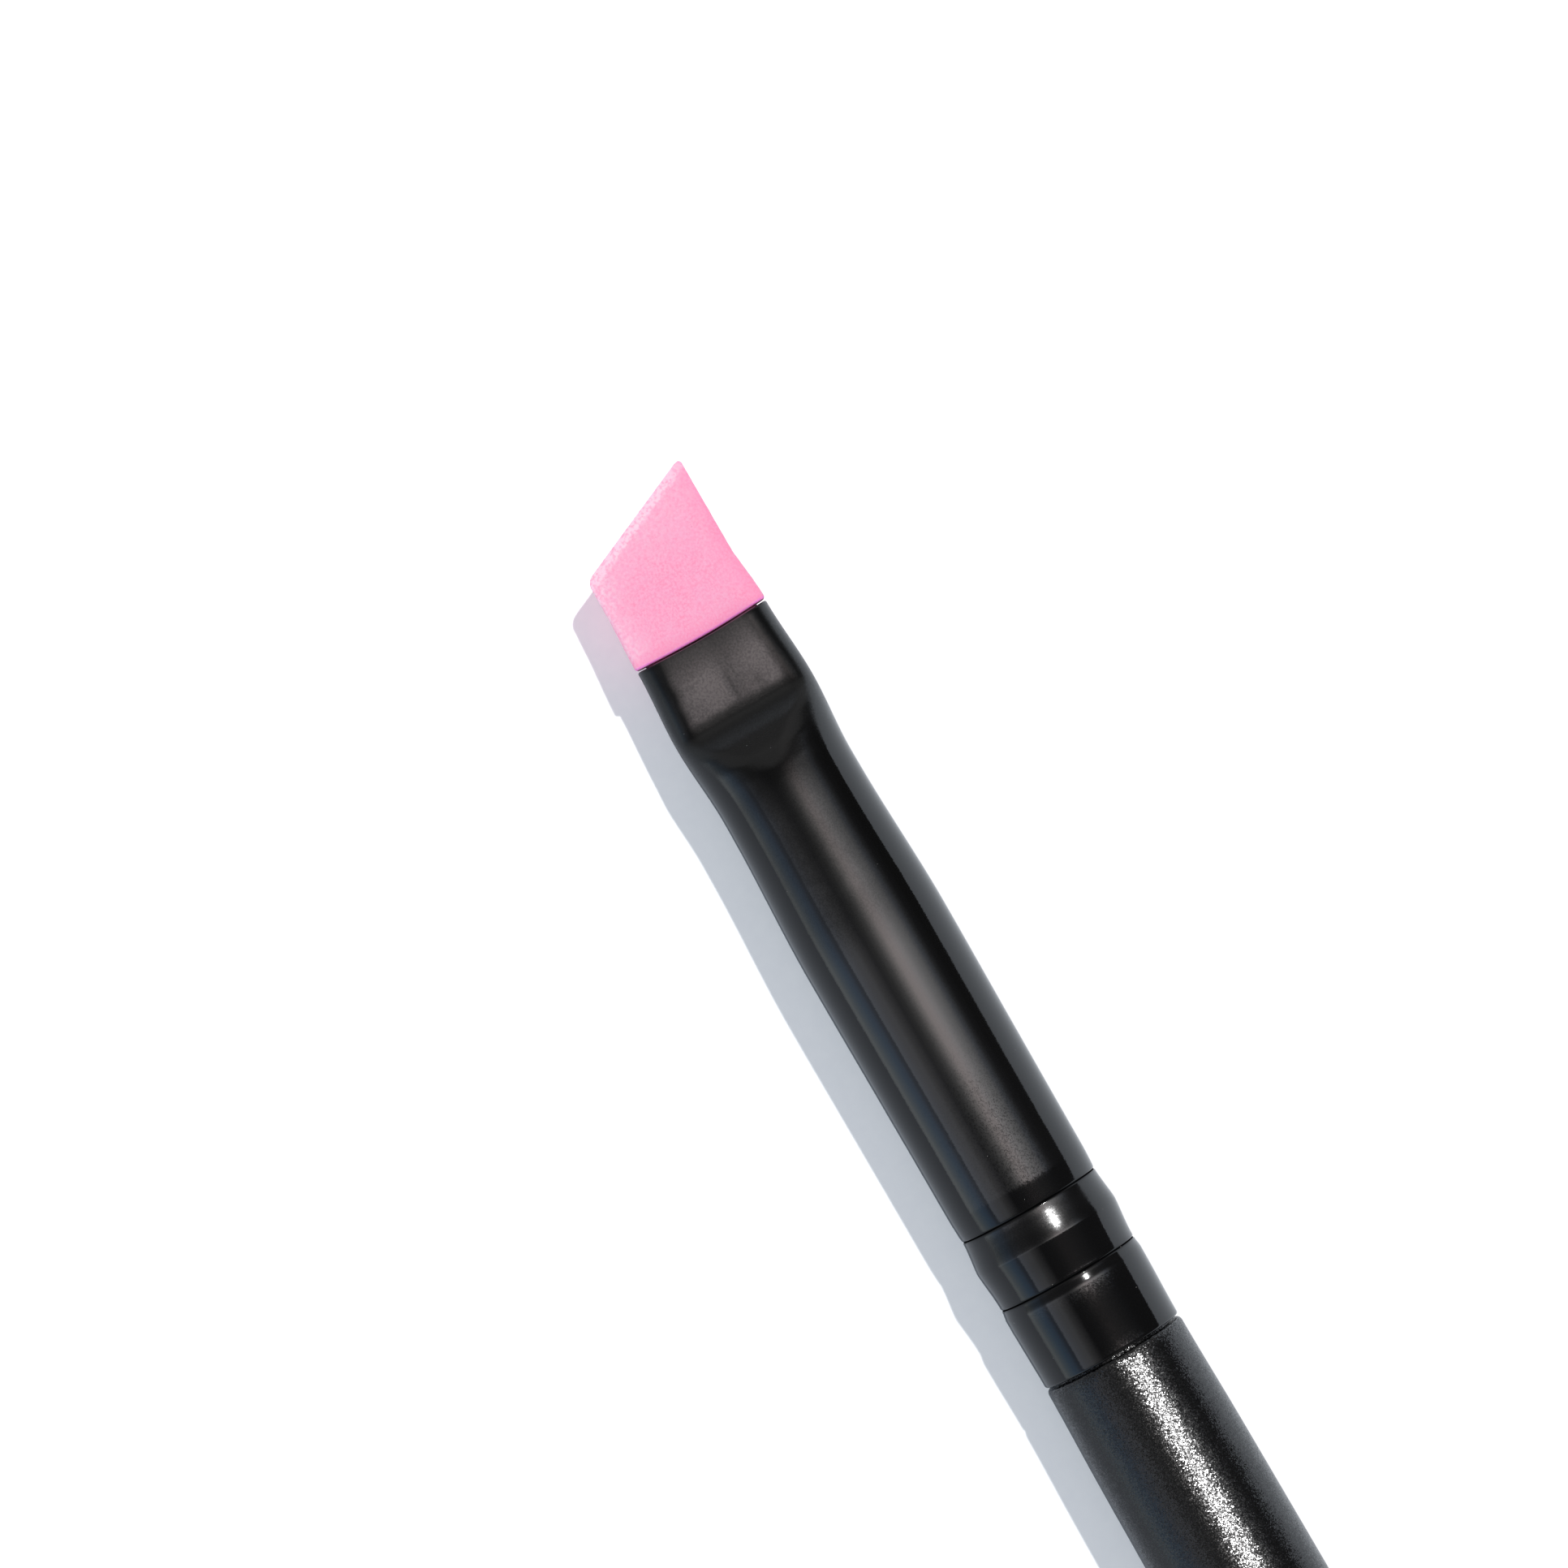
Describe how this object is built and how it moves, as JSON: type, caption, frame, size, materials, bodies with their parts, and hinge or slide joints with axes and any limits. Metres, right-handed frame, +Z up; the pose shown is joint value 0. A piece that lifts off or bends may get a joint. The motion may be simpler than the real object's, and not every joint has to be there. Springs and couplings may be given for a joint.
{
  "type": "slant tip silicone nail art brush",
  "caption": "Slim hand tool with a slant-cut pink silicone blade, a flattened black ferrule with crimped rings, and a long tapered black handle.",
  "frame": {"origin": "on the surface that the brush lies on, under the middle of its length and width", "axes": "+X along the brush from the blade to the tail of the handle, +Y across the blade towards its long side, +Z up, square to the blade's faces"},
  "size_m": [0.1604, 0.0072, 0.0072],
  "materials": {
    "silicone": "satin",
    "lacquered_ferrule": "gloss",
    "painted_handle": "satin",
    "epoxy": "gloss",
    "glue": "matte"
  },
  "bodies": {
    "brush_body": {"handle": "painted_handle", "ferrule": "lacquered_ferrule", "tip_root": "silicone", "tip_epoxy": "epoxy", "tenon_glue": "glue"},
    "blade": {"tip_blade": "silicone"}
  },
  "joints": [
    {"name": "tip_flex", "type": "hinge", "parent": "brush_body", "child": "blade", "pos_m": [-0.07467, 0, 0.0036], "axis": [0, 1, 0], "range_deg": [-20, 20], "stiffness_Nm_per_rad": 0.002}
  ]
}
